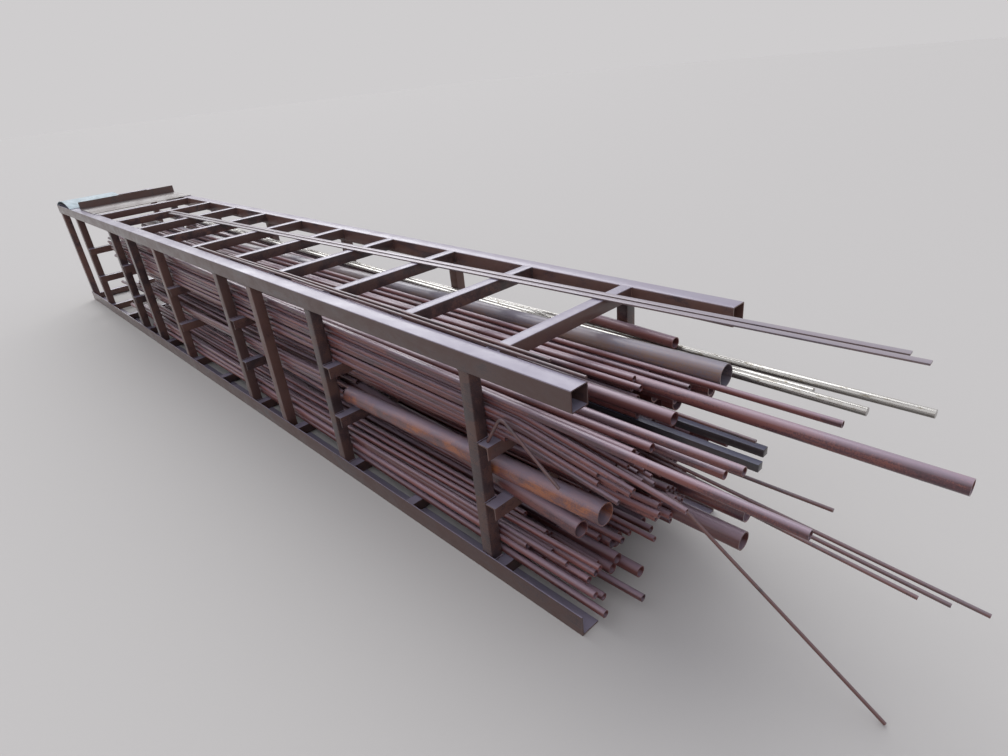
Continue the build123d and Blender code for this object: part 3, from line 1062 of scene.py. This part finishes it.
@dataclass
class Member:
    """One straight member of the rack, which runs along X, Y or Z."""

    low: np.ndarray
    high: np.ndarray
    corners: np.ndarray

    @classmethod
    def from_corners(cls, corners: np.ndarray) -> "Member":
        """Finds the box that a member fills, from its solid's corners."""
        return cls(corners.min(axis=0), corners.max(axis=0), corners)

    @property
    def axis(self) -> int:
        """The number of the axis that it runs along."""
        return int(np.argmax(self.high - self.low))

    def heel(self) -> tuple[int, int]:
        """The side of an angle iron's heel, opposite the corner of its box where it has no steel.

        Returns:
            -1 or 1 across and up.
        """
        u, v = (self.axis + 1) % 3, (self.axis + 2) % 3
        for side_u in (-1, 1):
            for side_v in (-1, 1):
                place_u = self.high[u] if side_u > 0 else self.low[u]
                place_v = self.high[v] if side_v > 0 else self.low[v]
                away = np.abs(self.corners[:, u] - place_u) + np.abs(self.corners[:, v] - place_v)
                if away.min() > OPEN_CORNER_M:
                    return -side_u, -side_v
        return 1, 1

    def add_to(self, section: Section, points: list, faces: list) -> None:
        """Adds the member's points and faces to the lists of a mesh.

        Args:
            section: the section that it is made of.
            points: the mesh's points so far.
            faces: the mesh's faces so far.
        """
        axis = self.axis
        u, v = (axis + 1) % 3, (axis + 2) % 3
        middle = (self.low + self.high) / 2
        first = len(points)
        count = sum(len(outline) for outline in section.outlines)
        for end in (self.low[axis], self.high[axis]):
            for outline in section.outlines:
                for across, up in outline:
                    point = [0.0, 0.0, 0.0]
                    point[axis], point[u], point[v] = end, middle[u] + across, middle[v] + up
                    points.append(tuple(point))
        start = first
        for outline in section.outlines:
            n = len(outline)
            for i in range(n):
                j = (i + 1) % n
                faces.append((start + i, start + j, start + j + count, start + i + count))
            start += n
        loops = [[Vector((p[0], p[1], 0.0)) for p in outline] for outline in section.outlines]
        flat = [p for loop in loops for p in loop]
        for a, b, c in tessellate_polygon(loops):
            turn = (flat[b] - flat[a]).cross(flat[c] - flat[a]).z
            a, c = (a, c) if turn > 0 else (c, a)
            faces.append((first + c, first + b, first + a))
            faces.append((first + count + a, first + count + b, first + count + c))


def finished(
    name: str, points: list, faces: list, tones: list[float], material: bpy.types.Material
) -> bpy.types.Object:
    """Makes an object of a mesh, smooth but for its sharp edges.

    Args:
        name: the object's name.
        points: the mesh's points.
        faces: the mesh's faces.
        tones: each point's own number, which sets the tone of the piece that it is on.
        material: the finish.

    Returns:
        The object, at the origin.
    """
    mesh = bpy.data.meshes.new(name)
    mesh.from_pydata(points, [], faces)
    mesh.attributes.new("tone", "FLOAT", "POINT").data.foreach_set("value", tones)
    mesh.materials.append(material)
    mesh.shade_smooth()
    mesh.set_sharp_from_angle(angle=math.radians(SHARP_DEGREES))
    piece = bpy.data.objects.new(name, mesh)
    bpy.context.scene.collection.objects.link(piece)
    return piece


class WeldTree:
    """Geometry Nodes that lay a rippled weld bead along each line."""

    def __init__(self, material: bpy.types.Material):
        """Builds the tree.

        Args:
            material: the finish that the beads get at the end.
        """
        self.tree = bpy.data.node_groups.new("weld_tree", "GeometryNodeTree")
        face = self.tree.interface
        face.new_socket("Geometry", in_out="INPUT", socket_type="NodeSocketGeometry")
        for label, value in (("Bead Radius", 0.0055), ("Ripple Pitch", 0.006), ("Unevenness", 0.4)):
            face.new_socket(label, in_out="INPUT", socket_type="NodeSocketFloat").default_value = value
        face.new_socket("Seed", in_out="INPUT", socket_type="NodeSocketInt").default_value = 3
        face.new_socket("Geometry", in_out="OUTPUT", socket_type="NodeSocketGeometry")
        self.draw(material)

    def draw(self, material: bpy.types.Material) -> None:
        """Links the nodes: points along each line, and a round bead whose thickness changes at each.

        Args:
            material: the finish that the beads get at the end.
        """
        given = add_node(self.tree, "NodeGroupInput").outputs
        lines = add_node(
            self.tree,
            "GeometryNodeResampleCurve",
            {"Curve": given["Geometry"], "Length": given["Ripple Pitch"]},
            mode="LENGTH",
        ).outputs[0]
        smallest = add_node(
            self.tree, "ShaderNodeMath", {0: 1.0, 1: given["Unevenness"]}, operation="SUBTRACT"
        ).outputs[0]
        ripple = add_node(
            self.tree,
            "FunctionNodeRandomValue",
            {2: smallest, 3: 1.0, "Seed": given["Seed"]},
            data_type="FLOAT",
        ).outputs[1]
        # Six corners are enough for a bead that is thinner than a pencil.
        round_bead = add_node(
            self.tree, "GeometryNodeCurvePrimitiveCircle", {"Radius": given["Bead Radius"], "Resolution": 6}
        ).outputs[0]
        beads = add_node(
            self.tree,
            "GeometryNodeCurveToMesh",
            {"Curve": lines, "Profile Curve": round_bead, "Scale": ripple, "Fill Caps": True},
        ).outputs[0]
        beads = add_node(self.tree, "GeometryNodeRealizeInstances", {0: beads}).outputs[0]
        beads = add_node(
            self.tree, "GeometryNodeSetShadeSmooth", {"Geometry": beads, "Shade Smooth": True}
        ).outputs[0]
        beads = add_node(
            self.tree, "GeometryNodeSetMaterial", {"Geometry": beads, "Material": material}
        ).outputs[0]
        add_node(self.tree, "NodeGroupOutput", {0: beads})


@dataclass
class Rack:
    """The welded rack, in metres.

    Its rails, rungs, posts and ground bars are square tube. Its sills, struts and bearers
    are angle iron.
    """

    rail_wall: float = 0.004
    tube_wall: float = 0.003
    sill_thickness: float = 0.006
    angle_thickness: float = 0.005
    post_size: float = 0.05
    bead: float = 0.0055
    seed: int = 5
    joints: list = field(default_factory=list)
    low: np.ndarray = field(default_factory=lambda: np.full(3, np.inf))
    high: np.ndarray = field(default_factory=lambda: np.full(3, -np.inf))

    def build(self, nodes: dict, finishes: Finishes) -> None:
        """Makes the rack's members and the beads that join them.

        Args:
            nodes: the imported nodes' objects by name.
            finishes: the finishes of the whole object.
        """
        chance = random.Random(self.seed)
        endings = ("_rail", "_sill", "_struts", "_bearers", "ground_bars")
        for name, solid in sorted(nodes.items()):
            if name.endswith(endings) or "rung" in name or "post" in name:
                self.member(name, solid, finishes, chance)
        self.welds(finishes)

    def member(self, name: str, solid: bpy.types.Object, finishes: Finishes, chance: random.Random) -> None:
        """Makes the finished mesh of one node of the rack.

        Args:
            name: the node's name.
            solid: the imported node's object.
            finishes: the finishes of the whole object.
            chance: the source of the members' tones.
        """
        points, faces, tones = [], [], []
        for corners in loose_pieces(*merged(solid)):
            member = Member.from_corners(corners)
            u, v = (member.axis + 1) % 3, (member.axis + 2) % 3
            width, height = (member.high - member.low)[[u, v]]
            if name.endswith(("_sill", "_struts", "_bearers")):
                thickness = self.sill_thickness if name.endswith("_sill") else self.angle_thickness
                section = Section.angle(width, height, thickness, member.heel())
            else:
                wall = self.rail_wall if name.endswith("_rail") else self.tube_wall
                section = Section.tube(width, height, wall)
            member.add_to(section, points, faces)
            tones += [chance.random()] * (len(points) - len(tones))
            self.join(name, member)
            self.low, self.high = np.minimum(self.low, member.low), np.maximum(self.high, member.high)
        piece = finished(f"{name}_steel", points, faces, tones, finishes.material("rack"))
        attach(piece, "root")
        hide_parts(name)
        log.info("%s: %d faces", piece.name, len(faces))

    def join(self, name: str, member: Member) -> None:
        """Notes the lines along which a member is welded to its neighbours.

        Args:
            name: the name of the member's node.
            member: the member.
        """
        (x0, y0, z0), (x1, y1, z1) = member.low, member.high
        if "rung" in name:
            for y in (y0, y1):
                self.joints += [((x0, y, z0), (x0, y, z1)), ((x1, y, z0), (x1, y, z1))]
                self.joints += [((x0, y, z0), (x1, y, z0))]
        elif "post" in name or name.endswith("_struts"):
            for z in (z0, z1):
                self.joints += [((x0, y0, z), (x1, y0, z)), ((x0, y0, z), (x0, y1, z))]
                self.joints += [((x1, y0, z), (x1, y1, z)), ((x0, y1, z), (x1, y1, z))]
        elif name.endswith("_bearers"):
            self.joints += [((x0, y0, z1), (x0, y0 + self.post_size, z1)), ((x0, y1, z1), (x1, y1, z1))]
            self.joints += [((x1, y1, z0), (x1, y1, z1))]

    def welds(self, finishes: Finishes) -> None:
        """Lays a bead along each joint, inside the rack's own box.

        Args:
            finishes: the finishes of the whole object.
        """
        inset = np.array([self.bead, self.bead, 0.0])
        lines = np.clip(np.array(self.joints), self.low + inset, self.high - inset)
        tree = WeldTree(finishes.material("rack")).tree
        beads = drawn("weld_beads", line_curve("weld_lines", lines), tree, {"Bead Radius": self.bead})
        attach(beads, "root")
        log.info("weld_beads: %d joints, %d faces", len(self.joints), len(beads.data.polygons))


@dataclass
class LooseStock:
    """The bars, the plate and the sheet that aren't round, and the kinked rod."""

    finishes: dict = field(
        default_factory=lambda: {
            "loose_flat_bars": "flat",
            "top_square_bars": "square",
            "folded_plate": "plate",
            "scrap_sheet": "sheet",
            "kinked_rod": "rod",
        }
    )
    edge_mm: dict = field(
        default_factory=lambda: {
            "loose_flat_bars": 0.8,
            "top_square_bars": 1.5,
            "folded_plate": 0.9,
        }
    )
    tone: float = 0.5

    def build(self, nodes: dict, finishes: Finishes) -> None:
        """Makes each piece's finished mesh, with its edges worn round where a wear is given.

        Args:
            nodes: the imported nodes' objects by name.
            finishes: the finishes of the whole object.
        """
        for name, finish in self.finishes.items():
            corners, triangles = merged(nodes[name])
            points, faces = corners.tolist(), triangles.tolist()
            if name in self.edge_mm:
                points, faces = self.worn(corners, triangles, self.edge_mm[name] / 1000.0)
            tones = [self.tone] * len(points)
            piece = finished(f"{name}_piece", points, faces, tones, finishes.material(finish))
            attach(piece, "root")
            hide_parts(name)
            log.info("%s: %d faces", piece.name, len(faces))

    @staticmethod
    def worn(corners: np.ndarray, triangles: np.ndarray, edge: float) -> tuple[list, list]:
        """Takes the sharpness off a solid's edges.

        Args:
            corners: the solid's corners.
            triangles: the triangles between them.
            edge: how far from the edge the rounding starts.

        Returns:
            The points and the faces of the worn solid.
        """
        shape = bmesh.new()
        points = [shape.verts.new(corner) for corner in corners]
        for triangle in triangles:
            shape.faces.new([points[i] for i in triangle])
        bmesh.ops.recalc_face_normals(shape, faces=shape.faces)
        # The triangles of one flat side become one face, so that only real edges are worn.
        bmesh.ops.dissolve_limit(
            shape,
            angle_limit=math.radians(1.0),
            verts=shape.verts,
            edges=shape.edges,
            use_dissolve_boundaries=False,
        )
        turn = math.radians(WORN_DEGREES)
        sharp = [e for e in shape.edges if e.is_manifold and e.calc_face_angle() > turn]
        bmesh.ops.bevel(
            shape, geom=sharp, offset=edge, segments=2, affect="EDGES", profile=0.5, clamp_overlap=True
        )
        shape.verts.index_update()
        result = [tuple(v.co) for v in shape.verts], [tuple(v.index for v in f.verts) for f in shape.faces]
        shape.free()
        return result


@dataclass(frozen=True)
class SoftLight:
    """One broad light: its strength, and its breadth and its turns in degrees."""

    name: str
    strength: float
    breadth: float
    turns: Point

    def add(self) -> None:
        """Adds the light to the scene."""
        data = bpy.data.lights.new(self.name, "SUN")
        data.energy = self.strength
        data.angle = math.radians(self.breadth)
        lamp = bpy.data.objects.new(self.name, data)
        bpy.context.scene.collection.objects.link(lamp)
        lamp.rotation_euler = [math.radians(turn) for turn in self.turns]


@dataclass
class Studio:
    """Plain floor, soft light and the camera.

    The light from behind shows how wet the tops are, and the weak one from the front
    keeps the near side from going dark.
    """

    eye: Point = (3.502, -1.476, 1.655)
    ahead: Point = (-0.6697, 0.5944, -0.4452)
    down: Point = (0.2634, -0.3704, -0.8907)
    focal_pixels: float = 630.7
    sensor_mm: float = 36.0
    floor_half: float = 60.0
    sky: str = "e4e4ef"
    sky_strength: float = 0.74
    backdrop: str = "cfcdce"
    lights: tuple[SoftLight, ...] = (
        SoftLight("soft_back", 1.75, 60.0, (-47.0, 0.0, 66.0)),
        SoftLight("soft_front", 0.5, 100.0, (50.0, 0.0, 30.0)),
    )

    def build(self) -> None:
        """Makes the floor, the light and the camera."""
        self.floor()
        self.world()
        for light in self.lights:
            light.add()
        self.camera()

    def floor(self) -> None:
        """A plain pale floor."""
        half = self.floor_half
        mesh = bpy.data.meshes.new("studio_floor")
        corners = [(-half, -half, 0), (half, -half, 0), (half, half, 0), (-half, half, 0)]
        mesh.from_pydata(corners, [], [(0, 1, 2, 3)])
        mesh.materials.append(PlainPale().build())
        floor = bpy.data.objects.new("studio_floor", mesh)
        bpy.context.scene.collection.objects.link(floor)

    def world(self) -> None:
        """An even pale sky for light, and a plain backdrop where the world is seen or mirrored."""
        world = bpy.data.worlds.new("studio_world")
        world.use_nodes = True
        tree = world.node_tree
        tree.nodes.clear()
        light = add_node(
            tree, "ShaderNodeBackground", {"Color": linear(self.sky), "Strength": self.sky_strength}
        )
        seen = add_node(tree, "ShaderNodeBackground", {"Color": linear(self.backdrop), "Strength": 1.0})
        rays = add_node(tree, "ShaderNodeLightPath").outputs
        straight = add_node(
            tree,
            "ShaderNodeMath",
            {0: rays["Is Camera Ray"], 1: rays["Is Glossy Ray"]},
            operation="MAXIMUM",
        ).outputs[0]
        straight = add_node(
            tree, "ShaderNodeMath", {0: straight, 1: rays["Is Transmission Ray"]}, operation="MAXIMUM"
        ).outputs[0]
        both = add_node(tree, "ShaderNodeMixShader", {0: straight, 1: light.outputs[0], 2: seen.outputs[0]})
        add_node(tree, "ShaderNodeOutputWorld", {"Surface": both.outputs[0]})
        bpy.context.scene.world = world

    def camera(self) -> None:
        """The camera at a standing viewer's eye, turned as the picture is."""
        data = bpy.data.cameras.new("camera")
        data.sensor_width = self.sensor_mm
        data.lens = self.focal_pixels * self.sensor_mm / IMAGE_WIDTH
        camera = bpy.data.objects.new("camera", data)
        bpy.context.scene.collection.objects.link(camera)
        back = -Vector(self.ahead).normalized()
        up = -Vector(self.down)
        right = up.cross(back).normalized()
        up = back.cross(right)
        turn = Matrix((right, up, back)).transposed().to_4x4()
        camera.matrix_world = Matrix.Translation(Vector(self.eye)) @ turn
        bpy.context.scene.camera = camera


def main() -> None:
    """Builds the heap, the rack and the studio in order."""
    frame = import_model()
    bpy.context.scene.view_settings.view_transform = "Standard"
    finishes = Finishes()
    nodes = frame["nodes"]
    Heap().build(nodes, finishes)
    Rack().build(nodes, finishes)
    LooseStock().build(nodes, finishes)
    Studio().build()
    log.info("object of %d nodes built", len(nodes))


if __name__ == "__main__":
    main()
